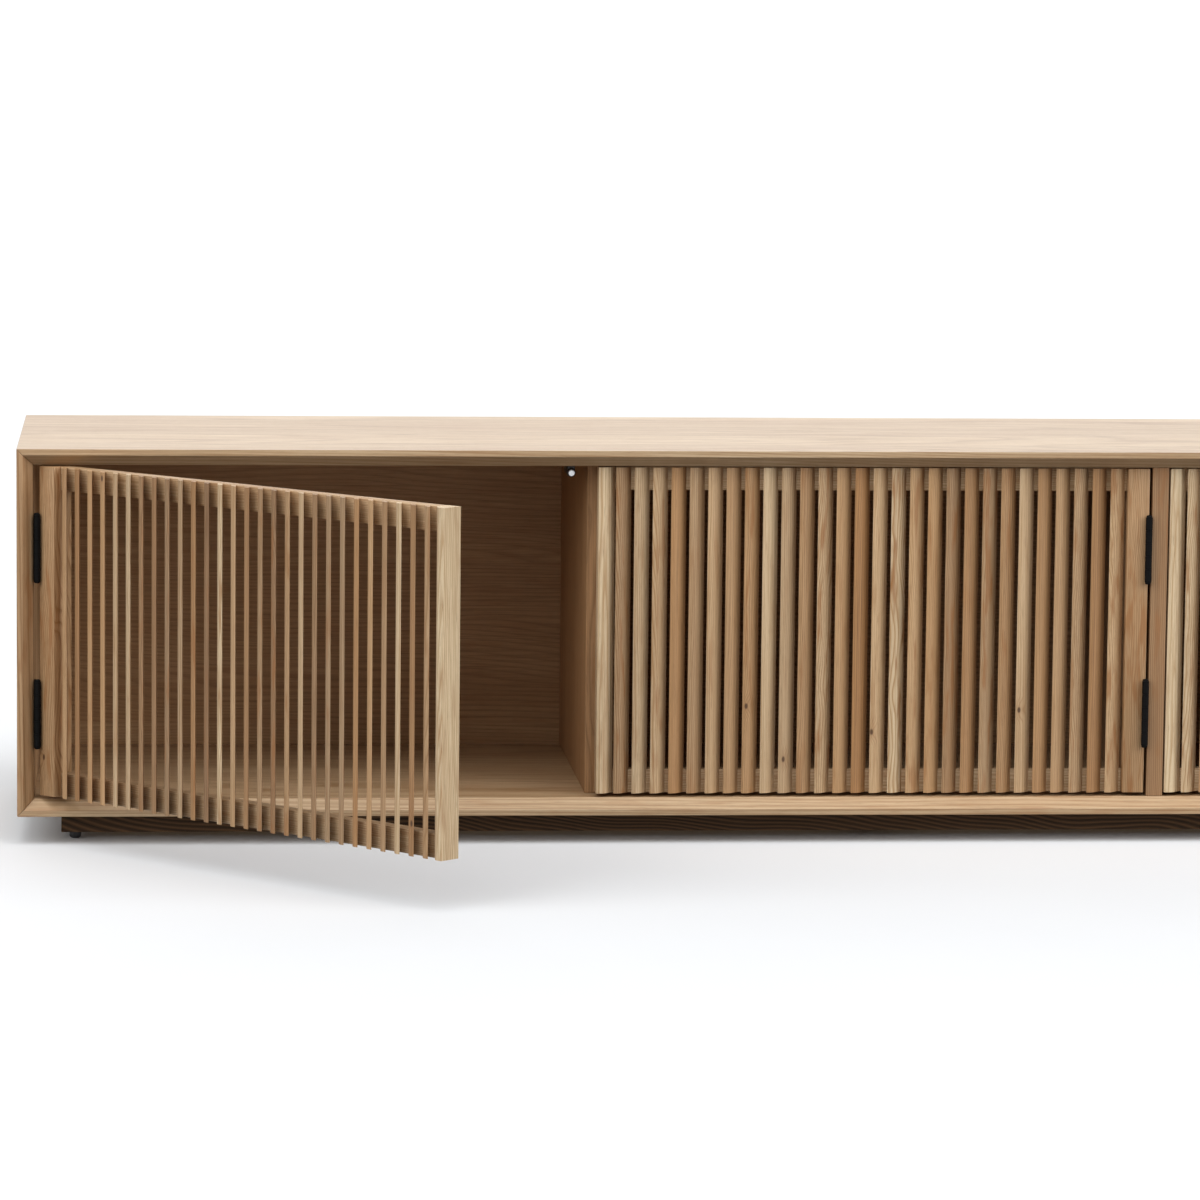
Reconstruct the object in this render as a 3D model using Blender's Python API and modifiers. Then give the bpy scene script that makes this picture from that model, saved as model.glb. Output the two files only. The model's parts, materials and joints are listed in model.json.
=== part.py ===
"""A low three-bay media cabinet in oak: mitred carcass, recessed plinth, three slatted doors.

Frame: metres, +X to the cabinet's right as seen from the front, the doors face -Y, +Z up.
The origin is on the floor, under the middle of the carcass. The first door stands open.
"""

import math

import bmesh
import bpy
from mathutils import Matrix, Vector

# Carcass
WIDTH = 2.000
DEPTH = 0.470
HEIGHT = 0.460
BOARD = 0.019
UNDERSIDE = 0.034       # underside of the carcass above the floor
LIP = 0.007             # flat front edge of the four outer boards
BEVEL_DEPTH = 0.0148    # how far the bevel behind the lip runs back
REBATE = 0.009          # rear rebate, into the board's thickness
BACK_INSET = 0.0195     # rear edge of the carcass to the front of the back panel
BACK_PANEL = 0.008
PARTITION_SETBACK = 0.0325  # the left partition stands this far behind the doors' fronts
GAP = 0.0003            # play between pieces that touch

# Plinth and feet
PLINTH_INSET = 0.050
PLINTH_RAIL = 0.018
FOOT_HEIGHT = 0.008
FOOT_RADIUS = 0.007
FOOT_SOLE = 0.0042      # radius of the flat sole
FOOT_SHOULDER = 0.0042  # height at which its side begins to round over

# Doors
DOOR_THICKNESS = 0.027
DOOR_TOP_GAP = 0.0015
DOOR_BOTTOM_GAP = 0.0045
MEETING_GAP = 0.0012    # half the gap between two doors that meet
LEADING_GAP = 0.0022    # between the third door and the partition beside it
HINGE_STILE = 0.025
LEADING_FRONT = 0.0094
LEADING_BACK = 0.0199
RAIL_HEIGHT = 0.027
SLAT_COUNT = 28
SLAT_FRONT = 0.009
SLAT_DEPTH = 0.0105
SLAT_HOUSING = 0.0006   # how far the slats are let into the rails
SLAT_LEAN = math.radians(45)
SLAT_ROUND = 0.003
OPEN_ANGLE = math.radians(47.1)

# Hinges
HINGE_GAP = 0.0036      # carcass face to the door's edge
AXIS_FROM_FACE = 0.0042
AXIS_AHEAD = 0.0043     # axis ahead of the doors' fronts
KNUCKLE_RADIUS = 0.0040
KNUCKLES = 5
BARREL = 0.076
LEAF_THICKNESS = 0.0012
LEAF_DEPTH = 0.022
PIN_RADIUS = 0.00175
BORE_RADIUS = 0.00195
PIN_CAP_RADIUS = 0.0036
PIN_CAP_HEIGHT = 0.0024
FINGER_ROOT = 0.6       # share of the knuckle's wall that the leaf's fingers run into
HINGE_SPREAD = 0.0965   # hinge centres above and below the door's middle

# Push latches
LATCH_FROM_EDGE = 0.0273
LATCH_DROP = 0.0106     # plunger axis below the top board
LATCH_LENGTH = 0.048
LATCH_RADIUS = 0.0052
LATCH_NOSE = 0.0045     # housing front to the plunger's face, door shut
PLUNGER_RADIUS = 0.0038
PLUNGER_STEM = 0.022
PLUNGER_BORE = 0.0042
PLUNGER_EDGE = 0.0006
BORE_SPARE = 0.004      # bore deeper than the plunger's stem
SADDLE_HALF = 0.0042    # half the width of the web above the tube
SADDLE_INSET = 0.001    # web shorter than the tube, at each end
FLANGE_HALF = 0.011     # half the width of the screwed flange
FLANGE_THICKNESS = 0.002
FLANGE_INSET = 0.010    # flange shorter than the tube, at each end
STRIKE_RADIUS = 0.0065
STRIKE_THICKNESS = 0.001

SIDES = 16              # facets round a small turned part
PIN_SIDES = 12
ROUND_STEPS = 3         # facets across a small rounded edge
SHARP_ANGLE = math.radians(35)
WELD = 1e-5             # merge distance

FRONT = -DEPTH / 2
DOOR_FRONT = FRONT + BEVEL_DEPTH
DOOR_BACK = DOOR_FRONT + DOOR_THICKNESS
BACK_FACE = DEPTH / 2 - BACK_INSET
FLOOR_TOP = UNDERSIDE + BOARD
CEILING = HEIGHT - BOARD
BAY = (WIDTH - 4 * BOARD) / 3
PARTITION_LEFT = -WIDTH / 2 + BOARD + BAY + BOARD / 2
PARTITION_RIGHT = -PARTITION_LEFT
DOOR_LOW = FLOOR_TOP + DOOR_BOTTOM_GAP
DOOR_HIGH = CEILING - DOOR_TOP_GAP
DOOR_MIDDLE = (DOOR_LOW + DOOR_HIGH) / 2


def clear_scene():
    for old in list(bpy.data.objects):
        bpy.data.objects.remove(old, do_unlink=True)


def new_collection(name):
    collection = bpy.data.collections.new(name)
    bpy.context.scene.collection.children.link(collection)
    return collection


def make_material(name, colour, roughness, metallic=0.0):
    material = bpy.data.materials.new(name)
    material.use_nodes = True
    shader = material.node_tree.nodes["Principled BSDF"]
    shader.inputs["Base Color"].default_value = (*colour, 1.0)
    shader.inputs["Roughness"].default_value = roughness
    shader.inputs["Metallic"].default_value = metallic
    return material


clear_scene()
CABINET = new_collection("media_cabinet")
CUTTERS = new_collection("cutters")
OAK = make_material("oak", (0.56, 0.40, 0.25), 0.55)
SLAT_OAK = make_material("slat_oak", (0.50, 0.33, 0.18), 0.55)
DARK_WOOD = make_material("dark_wood", (0.045, 0.028, 0.018), 0.6)
BLACK_STEEL = make_material("black_steel", (0.01, 0.01, 0.011), 0.45, 0.8)
BLACK_PLASTIC = make_material("black_plastic", (0.012, 0.012, 0.012), 0.5)
BRIGHT_STEEL = make_material("bright_steel", (0.75, 0.76, 0.77), 0.3, 1.0)


# Shapes

def box_mesh(low, high):
    """A box between two corners, from the cube primitive."""
    bpy.ops.mesh.primitive_cube_add(size=1)
    cube = bpy.context.object
    low, high = Vector(low), Vector(high)
    mesh = cube.data
    mesh.transform(Matrix.Translation((low + high) / 2) @ Matrix.Diagonal((*(high - low), 1)))
    bpy.data.objects.remove(cube)
    return mesh


def outline_mesh(points, low, high):
    """A flat outline in XY, extruded from z = low to z = high."""
    curve = bpy.data.curves.new("outline", "CURVE")
    curve.dimensions = "2D"
    curve.fill_mode = "BOTH"
    curve.extrude = (high - low) / 2
    spline = curve.splines.new("POLY")
    spline.points.add(len(points) - 1)
    for knot, (x, y) in zip(spline.points, points):
        knot.co = (x, y, 0, 1)
    spline.use_cyclic_u = True
    shape = bpy.data.objects.new("outline", curve)
    bpy.context.scene.collection.objects.link(shape)
    graph = bpy.context.evaluated_depsgraph_get()
    mesh = bpy.data.meshes.new_from_object(shape.evaluated_get(graph))
    bpy.data.objects.remove(shape)
    mesh.transform(Matrix.Translation((0, 0, (low + high) / 2)))
    return closed(mesh)


def closed(mesh):
    """Welds loose caps and turns every face outward."""
    work = bmesh.new()
    work.from_mesh(mesh)
    bmesh.ops.remove_doubles(work, verts=work.verts, dist=WELD)
    bmesh.ops.recalc_face_normals(work, faces=work.faces)
    work.to_mesh(mesh)
    work.free()
    return mesh


def turned_mesh(profile, steps=SIDES):
    """Turns a profile of (radius, height) about Z; both of its ends lie on the axis."""
    mesh = bpy.data.meshes.new("profile")
    edges = [(i, i + 1) for i in range(len(profile) - 1)]
    mesh.from_pydata([(r, 0, z) for r, z in profile], edges, [])
    shape = bpy.data.objects.new("turned", mesh)
    bpy.context.scene.collection.objects.link(shape)
    screw = shape.modifiers.new("turn", "SCREW")
    screw.steps = screw.render_steps = steps
    screw.use_merge_vertices = True
    screw.merge_threshold = WELD
    graph = bpy.context.evaluated_depsgraph_get()
    turned = bpy.data.meshes.new_from_object(shape.evaluated_get(graph))
    bpy.data.objects.remove(shape)
    turned = closed(turned)
    turned.shade_smooth()
    turned.set_sharp_from_angle(angle=SHARP_ANGLE)
    return turned


def tube_mesh(radius, low, high):
    return turned_mesh([(0, high), (radius, high), (radius, low), (0, low)])


def joined_mesh(meshes):
    work = bmesh.new()
    for mesh in meshes:
        work.from_mesh(mesh)
    whole = bpy.data.meshes.new("joined")
    work.to_mesh(whole)
    work.free()
    return whole


def place(name, mesh, material, location=(0, 0, 0), rotation=(0, 0, 0), parent=None):
    """One named piece of the cabinet."""
    mesh.name = name
    mesh.materials.clear()
    mesh.materials.append(material)
    piece = bpy.data.objects.new(name, mesh)
    CABINET.objects.link(piece)
    piece.parent = parent
    piece.location = location
    piece.rotation_euler = rotation
    return piece


def combine(piece, mesh, operation):
    """Adds a Boolean whose cutter moves with the piece."""
    cutter = bpy.data.objects.new(f"{piece.name}_{operation.lower()}", mesh)
    CUTTERS.objects.link(cutter)
    cutter.hide_render = True
    cutter.display_type = "WIRE"
    cutter.parent = piece.parent
    cutter.location = piece.location
    cutter.rotation_euler = piece.rotation_euler
    boolean = piece.modifiers.new(operation.lower(), "BOOLEAN")
    boolean.operation = operation
    boolean.object = cutter
    return boolean


def rounded_corner(before, corner, after, radius, steps=2):
    """Points of an arc that rounds one corner of an outline."""
    before, corner, after = Vector(before), Vector(corner), Vector(after)
    back = (before - corner).normalized()
    on = (after - corner).normalized()
    half = back.angle(on) / 2
    reach = radius / math.tan(half)
    centre = corner + (back + on).normalized() * radius / math.sin(half)
    start = corner + back * reach - centre
    end = corner + on * reach - centre
    turn = start.angle_signed(end)
    points = []
    for step in range(steps + 1):
        spoke = Matrix.Rotation(-turn * step / steps, 2) @ start
        points.append(tuple(centre + spoke))
    return points


# Carcass

def mitred_board(name, length, location, turn):
    """One outer board: front lip and bevel, rear rebate, both ends mitred.

    Its outer face is local z = 0 and its inner face is below that.
    """
    profile = [
        (FRONT, 0),
        (DEPTH / 2, 0),
        (DEPTH / 2, REBATE - BOARD),
        (BACK_FACE, REBATE - BOARD),
        (BACK_FACE, -BOARD),
        (DOOR_FRONT, -BOARD),
        (FRONT, -LIP),
    ]
    mesh = outline_mesh(profile, -length / 2, length / 2)
    mesh.transform(Matrix(((0, 0, 1, 0), (1, 0, 0, 0), (0, 1, 0, 0), (0, 0, 0, 1))))
    work = bmesh.new()
    work.from_mesh(mesh)
    for side in (-1, 1):
        cut = bmesh.ops.bisect_plane(
            work,
            geom=work.verts[:] + work.edges[:] + work.faces[:],
            plane_co=(side * (length / 2 - GAP / math.sqrt(2)), 0, 0),
            plane_no=(side, 0, -1),
            clear_outer=True,
        )
        rim = [part for part in cut["geom_cut"] if isinstance(part, bmesh.types.BMEdge)]
        bmesh.ops.edgenet_fill(work, edges=rim)
    work.to_mesh(mesh)
    work.free()
    return place(name, closed(mesh), OAK, location, (0, turn, 0))


def carcass():
    tall = HEIGHT - UNDERSIDE
    middle = (HEIGHT + UNDERSIDE) / 2
    quarter = math.pi / 2
    mitred_board("top_panel", WIDTH, (0, 0, HEIGHT), 0)
    mitred_board("bottom_panel", WIDTH, (0, 0, UNDERSIDE), math.pi)
    mitred_board("left_side_panel", tall, (-WIDTH / 2, 0, middle), -quarter)
    mitred_board("right_side_panel", tall, (WIDTH / 2, 0, middle), quarter)
    fronts = (
        ("left_partition", PARTITION_LEFT, DOOR_FRONT + PARTITION_SETBACK),
        ("right_partition", PARTITION_RIGHT, DOOR_FRONT),
    )
    for name, x, front in fronts:
        low = (-BOARD / 2, front, FLOOR_TOP + GAP)
        high = (BOARD / 2, BACK_FACE, CEILING - GAP)
        place(name, box_mesh(low, high), OAK, (x, 0, 0))
    edge = BOARD - REBATE + GAP
    low = (-WIDTH / 2 + edge, BACK_FACE + GAP, UNDERSIDE + edge)
    high = (WIDTH / 2 - edge, BACK_FACE + GAP + BACK_PANEL, HEIGHT - edge)
    place("back_panel", box_mesh(low, high), OAK)


# Plinth

def plinth():
    low, high = FOOT_HEIGHT, UNDERSIDE - GAP
    half_width = WIDTH / 2 - PLINTH_INSET
    half_depth = DEPTH / 2 - PLINTH_INSET
    for name, y in (
        ("plinth_front_rail", -half_depth),
        ("plinth_back_rail", half_depth - PLINTH_RAIL),
    ):
        rail = box_mesh((-half_width, 0, low), (half_width, PLINTH_RAIL, high))
        place(name, rail, DARK_WOOD, (0, y, 0))
    reach = half_depth - PLINTH_RAIL - GAP
    for name, x in (
        ("plinth_left_rail", -half_width),
        ("plinth_cross_rail", -PLINTH_RAIL / 2),
        ("plinth_right_rail", half_width - PLINTH_RAIL),
    ):
        rail = box_mesh((0, -reach, low), (PLINTH_RAIL, reach, high))
        place(name, rail, DARK_WOOD, (x, 0, 0))
    foot_x = half_width - PLINTH_RAIL / 2 - FOOT_RADIUS
    foot_y = half_depth - PLINTH_RAIL / 2
    feet = {
        "front_left_foot": (-foot_x, -foot_y),
        "front_right_foot": (foot_x, -foot_y),
        "back_left_foot": (-foot_x, foot_y),
        "back_right_foot": (foot_x, foot_y),
        "centre_foot": (0, 0),
    }
    for name, (x, y) in feet.items():
        glide(name, x, y)


def glide(name, x, y):
    """A round glide with a flat sole and a softly rounded edge."""
    top = FOOT_HEIGHT - GAP
    profile = [(0, top), (FOOT_RADIUS, top), (FOOT_RADIUS, FOOT_SHOULDER)]
    for step in range(1, ROUND_STEPS + 1):
        angle = math.pi / 2 * step / ROUND_STEPS
        across = FOOT_SOLE + (FOOT_RADIUS - FOOT_SOLE) * math.cos(angle)
        profile.append((across, FOOT_SHOULDER * (1 - math.sin(angle))))
    profile.append((0, 0))
    place(name, turned_mesh(profile), BLACK_PLASTIC, (x, y, 0))


# Doors

class Door:
    """One door's sizes: `hand` is +1 if it is hinged on its left and -1 on its right."""

    def __init__(self, name, hand, hinge_face, width, angle=0.0):
        self.name = name
        self.hand = hand
        self.width = width
        self.axis = (hinge_face + hand * AXIS_FROM_FACE, DOOR_FRONT - AXIS_AHEAD, 0)
        self.hinge_edge = HINGE_GAP - AXIS_FROM_FACE
        self.lead = self.hinge_edge + width
        self.front = AXIS_AHEAD
        self.back = AXIS_AHEAD + DOOR_THICKNESS
        self.pivot = bpy.data.objects.new(f"{name}_pivot", None)
        CABINET.objects.link(self.pivot)
        self.pivot.location = self.axis
        self.pivot.rotation_euler = (0, 0, -hand * angle)

    def from_lead(self, inward):
        """Local x of a point that far inward of the leading edge."""
        return self.hand * (self.lead - inward)

    def outline(self, points, low=DOOR_LOW, high=DOOR_HIGH):
        """Extrudes an outline given as (distance from the leading edge, local y)."""
        return outline_mesh([(self.from_lead(a), y) for a, y in points], low, high)


def slat_outline(start, front):
    """A leaning slat whose outer arris is at `start`; it leans towards the hinges."""
    deep = SLAT_DEPTH + SLAT_HOUSING
    shift = deep * math.tan(SLAT_LEAN)
    arris = (start, front)
    corner = (start + SLAT_FRONT, front)
    tail = (start + SLAT_FRONT + shift, front + deep)
    heel = (start + shift, front + deep)
    return [arris, *rounded_corner(arris, corner, tail, SLAT_ROUND), tail, heel]


def leading_outline(front, back):
    """The free edge: square outside, and inside it leans as the slats do, then runs straight."""
    outer = (0, front)
    corner = (LEADING_FRONT, front)
    lean = (LEADING_BACK, front + (LEADING_BACK - LEADING_FRONT) / math.tan(SLAT_LEAN))
    arc = rounded_corner(outer, corner, lean, SLAT_ROUND)
    return [outer, *arc, lean, (LEADING_BACK, back), (0, back)]


def door_woodwork(door):
    name, front, back = door.name, door.front, door.back
    inner = door.width - HINGE_STILE
    stile = door.outline([(inner, front), (door.width, front), (door.width, back), (inner, back)])
    place(f"{name}_hinge_stile", stile, OAK, parent=door.pivot)
    leading = door.outline(leading_outline(front, back))
    place(f"{name}_leading_stile", leading, OAK, parent=door.pivot)

    face = front + SLAT_DEPTH
    rails = []
    for low, high in ((DOOR_LOW, DOOR_LOW + RAIL_HEIGHT), (DOOR_HIGH - RAIL_HEIGHT, DOOR_HIGH)):
        ends = (door.from_lead(LEADING_BACK + GAP), door.from_lead(inner - GAP))
        rails.append(box_mesh((min(ends), face, low), (max(ends), back, high)))
    pitch = (inner - LEADING_BACK) / SLAT_COUNT
    slats = []
    for count in range(SLAT_COUNT):
        slats.append(door.outline(slat_outline(LEADING_BACK + count * pitch, front)))
    grille = place(f"{name}_slat_grille", joined_mesh(rails), SLAT_OAK, parent=door.pivot)
    combine(grille, joined_mesh(slats), "UNION")


def strike_plate(door):
    disc = tube_mesh(STRIKE_RADIUS, 0, STRIKE_THICKNESS)
    spot = (door.from_lead(LATCH_FROM_EDGE), door.back + GAP, CEILING - LATCH_DROP)
    place(f"{door.name}_strike_plate", disc, BRIGHT_STEEL, spot, (-math.pi / 2, 0, 0), door.pivot)


# Hinges

def leaf(name, near, far, turns, knuckles, location, parent=None):
    """Half of a butt hinge: a plate beside the barrel and the knuckles it carries.

    `near` and `far` bound the plate across its thickness; `turns` mirrors it for the other hand.
    """
    ends = sorted((turns * near, turns * far))
    low, high = -BARREL / 2, BARREL / 2
    behind = KNUCKLE_RADIUS + 2 * GAP
    plate = box_mesh((ends[0], behind, low), (ends[1], behind + LEAF_DEPTH, high))
    step = BARREL / KNUCKLES
    root = math.sqrt(KNUCKLE_RADIUS ** 2 - near ** 2) * FINGER_ROOT
    rings, bores = [], []
    for knuckle in knuckles:
        bottom = low + knuckle * step + GAP / 2
        top = bottom + step - GAP
        finger = box_mesh((ends[0], root, bottom), (ends[1], behind + LEAF_THICKNESS, top))
        rings.append((tube_mesh(KNUCKLE_RADIUS, bottom, top), finger))
        bores.append(tube_mesh(BORE_RADIUS, bottom - GAP, top + GAP))
    piece = place(name, plate, BLACK_STEEL, location, parent=parent)
    fingers = combine(piece, joined_mesh([finger for _, finger in rings]), "UNION")
    fingers.name = "fingers"
    combine(piece, joined_mesh([ring for ring, _ in rings]), "UNION").name = "rings"
    combine(piece, joined_mesh(bores), "DIFFERENCE").name = "bores"
    return piece


def hinge(door, name, z):
    turns = -door.hand
    frame_near = AXIS_FROM_FACE - GAP
    door_far = AXIS_FROM_FACE - HINGE_GAP + GAP
    spot = (door.axis[0], door.axis[1], z)
    leaf(f"{name}_frame_leaf", frame_near, frame_near - LEAF_THICKNESS, turns, (0, 2, 4), spot)
    leaf(
        f"{name}_door_leaf", door_far + LEAF_THICKNESS, door_far, turns, (1, 3), (0, 0, z), door.pivot
    )
    half = BARREL / 2
    cap = [(0, half + GAP + PIN_CAP_HEIGHT)]
    for step in range(1, ROUND_STEPS + 1):
        angle = math.pi / 2 * step / ROUND_STEPS
        rise = PIN_CAP_HEIGHT * math.cos(angle)
        cap.append((PIN_CAP_RADIUS * math.sin(angle), half + GAP + rise))
    shaft = [(PIN_RADIUS, half + GAP), (PIN_RADIUS, -half - GAP)]
    profile = cap + shaft + [(r, -z_cap) for r, z_cap in reversed(cap)]
    place(f"{name}_pin", turned_mesh(profile, PIN_SIDES), BLACK_STEEL, spot)


# Push latches

def push_latch(door):
    """A tubular magnetic latch under the top board, and the plunger that the door presses."""
    x = door.axis[0] + door.from_lead(LATCH_FROM_EDGE)
    z = CEILING - LATCH_DROP
    face = DOOR_BACK + GAP + STRIKE_THICKNESS + GAP
    nose = face + LATCH_NOSE
    to_back = (-math.pi / 2, 0, 0)
    tube = tube_mesh(LATCH_RADIUS, 0, LATCH_LENGTH)
    housing = place(f"{door.name}_latch_housing", tube, BLACK_PLASTIC, (x, nose, z), to_back)
    roof = LATCH_DROP - GAP
    low = (-SADDLE_HALF, -roof, SADDLE_INSET)
    high = (SADDLE_HALF, 0, LATCH_LENGTH - SADDLE_INSET)
    combine(housing, box_mesh(low, high), "UNION").name = "saddle"
    low = (-FLANGE_HALF, -roof, FLANGE_INSET)
    high = (FLANGE_HALF, FLANGE_THICKNESS - roof, LATCH_LENGTH - FLANGE_INSET)
    combine(housing, box_mesh(low, high), "UNION").name = "flange"
    bore = tube_mesh(PLUNGER_BORE, -SADDLE_INSET, PLUNGER_STEM + BORE_SPARE)
    combine(housing, bore, "DIFFERENCE").name = "bore"

    profile = [
        (0, PLUNGER_STEM),
        (PLUNGER_RADIUS, PLUNGER_STEM),
        (PLUNGER_RADIUS, PLUNGER_EDGE),
        (PLUNGER_RADIUS - PLUNGER_EDGE, 0),
        (0, 0),
    ]
    plunger = turned_mesh(profile)
    place(f"{door.name}_latch_plunger", plunger, BRIGHT_STEEL, (x, face, z), to_back)


def doors():
    half_inner = WIDTH / 2 - BOARD
    left_face = -half_inner
    right_face = half_inner
    middle_face = PARTITION_RIGHT - BOARD / 2
    meeting = PARTITION_LEFT
    width_1 = meeting - MEETING_GAP - (left_face + HINGE_GAP)
    width_2 = (middle_face - HINGE_GAP) - (meeting + MEETING_GAP)
    width_3 = (right_face - HINGE_GAP) - (PARTITION_RIGHT + BOARD / 2 + LEADING_GAP)
    row = (
        Door("left_door", 1, left_face, width_1, OPEN_ANGLE),
        Door("middle_door", -1, middle_face, width_2),
        Door("right_door", -1, right_face, width_3),
    )
    for door in row:
        door_woodwork(door)
        strike_plate(door)
        push_latch(door)
        for place_name, offset in (("upper", HINGE_SPREAD), ("lower", -HINGE_SPREAD)):
            hinge(door, f"{door.name}_{place_name}_hinge", DOOR_MIDDLE + offset)


carcass()
plinth()
doors()
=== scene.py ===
"""The looks of a low oak media cabinet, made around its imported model.

Metres, +X to the cabinet's right as seen from the front, the doors face -Y, +Z up.
"""

import json
import math
import random

import bmesh
import bpy
from mathutils import Matrix, Vector


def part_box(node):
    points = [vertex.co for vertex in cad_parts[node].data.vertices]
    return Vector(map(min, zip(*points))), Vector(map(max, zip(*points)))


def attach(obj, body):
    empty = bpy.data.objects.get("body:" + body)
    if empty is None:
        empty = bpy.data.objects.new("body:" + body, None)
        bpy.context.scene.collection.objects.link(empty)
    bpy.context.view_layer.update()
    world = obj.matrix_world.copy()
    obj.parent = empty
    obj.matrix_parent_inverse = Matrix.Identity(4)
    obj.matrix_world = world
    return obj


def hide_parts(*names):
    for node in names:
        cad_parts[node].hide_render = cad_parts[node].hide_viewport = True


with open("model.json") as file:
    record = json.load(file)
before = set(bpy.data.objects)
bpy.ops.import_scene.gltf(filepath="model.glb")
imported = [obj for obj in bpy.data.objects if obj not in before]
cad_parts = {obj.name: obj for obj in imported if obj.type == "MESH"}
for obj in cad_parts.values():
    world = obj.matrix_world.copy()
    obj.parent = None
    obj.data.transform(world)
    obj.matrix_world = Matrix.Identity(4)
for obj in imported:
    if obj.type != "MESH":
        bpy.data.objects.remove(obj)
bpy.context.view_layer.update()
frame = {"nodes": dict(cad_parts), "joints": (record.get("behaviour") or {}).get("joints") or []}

# ---------------------------------------------------------------------------------------------
# The studio: a pale floor that runs on past the view, three broad soft lights, and a pale room whose
# bright far side shows as a sheen along the top board. Dark flags keep the floor's bounce off the
# cabinet. The camera stands well back, in front of the left door.

camera = bpy.data.objects.new("camera", bpy.data.cameras.new("camera"))
bpy.context.scene.collection.objects.link(camera)
camera.data.lens = 161.65
camera.data.sensor_width = 36
camera.data.clip_end = 1000
stand = Matrix.Translation((-0.8405, -6.4154, 1.0162))
turn_right, look_down, tilt = 0.0828, 0.1171, 0.0105
camera.matrix_world = (
    stand
    @ Matrix.Rotation(-turn_right, 4, "Z")
    @ Matrix.Rotation(math.pi / 2 - look_down, 4, "X")
    @ Matrix.Rotation(tilt, 4, "Z")
)
bpy.context.scene.camera = camera
bpy.context.scene.view_settings.view_transform = "Standard"

light_energy = 1.75
light_breadth = math.radians(50)
for name, aim in (
    ("high_soft_light", (0.0, 0.40, -0.92)),
    ("left_soft_light", (0.72, 0.50, -0.48)),
    ("right_soft_light", (-0.72, 0.50, -0.48)),
):
    light = bpy.data.objects.new(name, bpy.data.lights.new(name, "SUN"))
    bpy.context.scene.collection.objects.link(light)
    light.data.energy = light_energy
    light.data.angle = light_breadth
    light.rotation_euler = Vector(aim).to_track_quat("-Z", "Y").to_euler()


class Wire:
    """A value in a material's nodes. Arithmetic on it adds Math nodes."""

    def __init__(self, finish, socket):
        self.finish = finish
        self.socket = socket

    def math(self, operation, *values):
        inputs = dict(enumerate(values))
        return self.finish.node("ShaderNodeMath", {"operation": operation}, inputs)

    def __add__(self, other):
        return self.math("ADD", self, other)

    def __radd__(self, other):
        return self.math("ADD", other, self)

    def __sub__(self, other):
        return self.math("SUBTRACT", self, other)

    def __rsub__(self, other):
        return self.math("SUBTRACT", other, self)

    def __mul__(self, other):
        return self.math("MULTIPLY", self, other)

    def __rmul__(self, other):
        return self.math("MULTIPLY", other, self)

    def __truediv__(self, other):
        return self.math("DIVIDE", self, other)

    def fract(self):
        return self.math("FRACT", self)

    def whole(self):
        return self.math("FLOOR", self)

    def root(self):
        return self.math("SQRT", self)


class Finish:
    """A node tree with its shader, and one method that adds any node."""

    def __init__(self, name, owner=None, shader="Principled BSDF"):
        self.owner = owner or bpy.data.materials.new(name)
        self.owner.use_nodes = True
        self.tree = self.owner.node_tree
        self.shader = self.tree.nodes[shader]

    def node(self, kind, settings=None, inputs=None, output=0):
        made = self.tree.nodes.new(kind)
        for key, value in (settings or {}).items():
            if key == "stops":
                while len(made.color_ramp.elements) < len(value):
                    made.color_ramp.elements.new(1.0)
                for element, (place, grey) in zip(made.color_ramp.elements, value):
                    element.position = place
                    element.color = (grey, grey, grey, 1)
            else:
                setattr(made, key, value)
        for key, value in (inputs or {}).items():
            self.feed(made.inputs[key], value)
        return Wire(self, made.outputs[output])

    def feed(self, socket, value):
        if isinstance(value, Wire):
            self.tree.links.new(value.socket, socket)
        else:
            socket.default_value = value

    def set(self, **values):
        for key, value in values.items():
            self.feed(self.shader.inputs[key.replace("_", " ").title()], value)

    def parts(self, vector):
        """The three components of a vector."""
        first = self.node("ShaderNodeSeparateXYZ", None, {0: vector})
        return [Wire(self, out) for out in first.socket.node.outputs]

    def vector(self, x, y, z):
        return self.node("ShaderNodeCombineXYZ", None, {0: x, 1: y, 2: z})

    def mix(self, factor, one, other, kind="MIX"):
        """Mixes two colours."""
        settings = {"data_type": "RGBA", "blend_type": kind}
        return self.node("ShaderNodeMix", settings, {0: factor, 6: one, 7: other}, 2)

    def ramp(self, value, start, end, low=0.0, high=1.0, kind="SMOOTHSTEP"):
        """Carries a value from one range to another, easing in and out, and holds it there."""
        inputs = {"Value": value, "From Min": start, "From Max": end, "To Min": low, "To Max": high}
        return self.node("ShaderNodeMapRange", {"interpolation_type": kind}, inputs)

    def noise(self, vector, scale=1.0, detail=2.0, rough=0.5):
        inputs = {"Vector": vector, "Scale": scale, "Detail": detail, "Roughness": rough}
        return self.node("ShaderNodeTexNoise", None, inputs)

    def bump(self, height, strength, distance):
        inputs = {"Height": height, "Strength": strength, "Distance": distance}
        return self.node("ShaderNodeBump", None, inputs)


def colour(red, green, blue):
    return (red, green, blue, 1)


room = Finish("room", bpy.data.worlds.new("room"), "Background")
bpy.context.scene.world = room.owner
_, back, up = room.parts(room.node("ShaderNodeTexCoord", output="Generated"))
near_glow, far_glow, low_glow = 0.17, 1.4, 0.22
lit = room.ramp(back, 0.4, 0.85, near_glow, far_glow)
above = room.ramp(up, -0.05, 0.0)
room.set(color=colour(1, 1, 1), strength=lit * above + low_glow * (1 - above))

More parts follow.
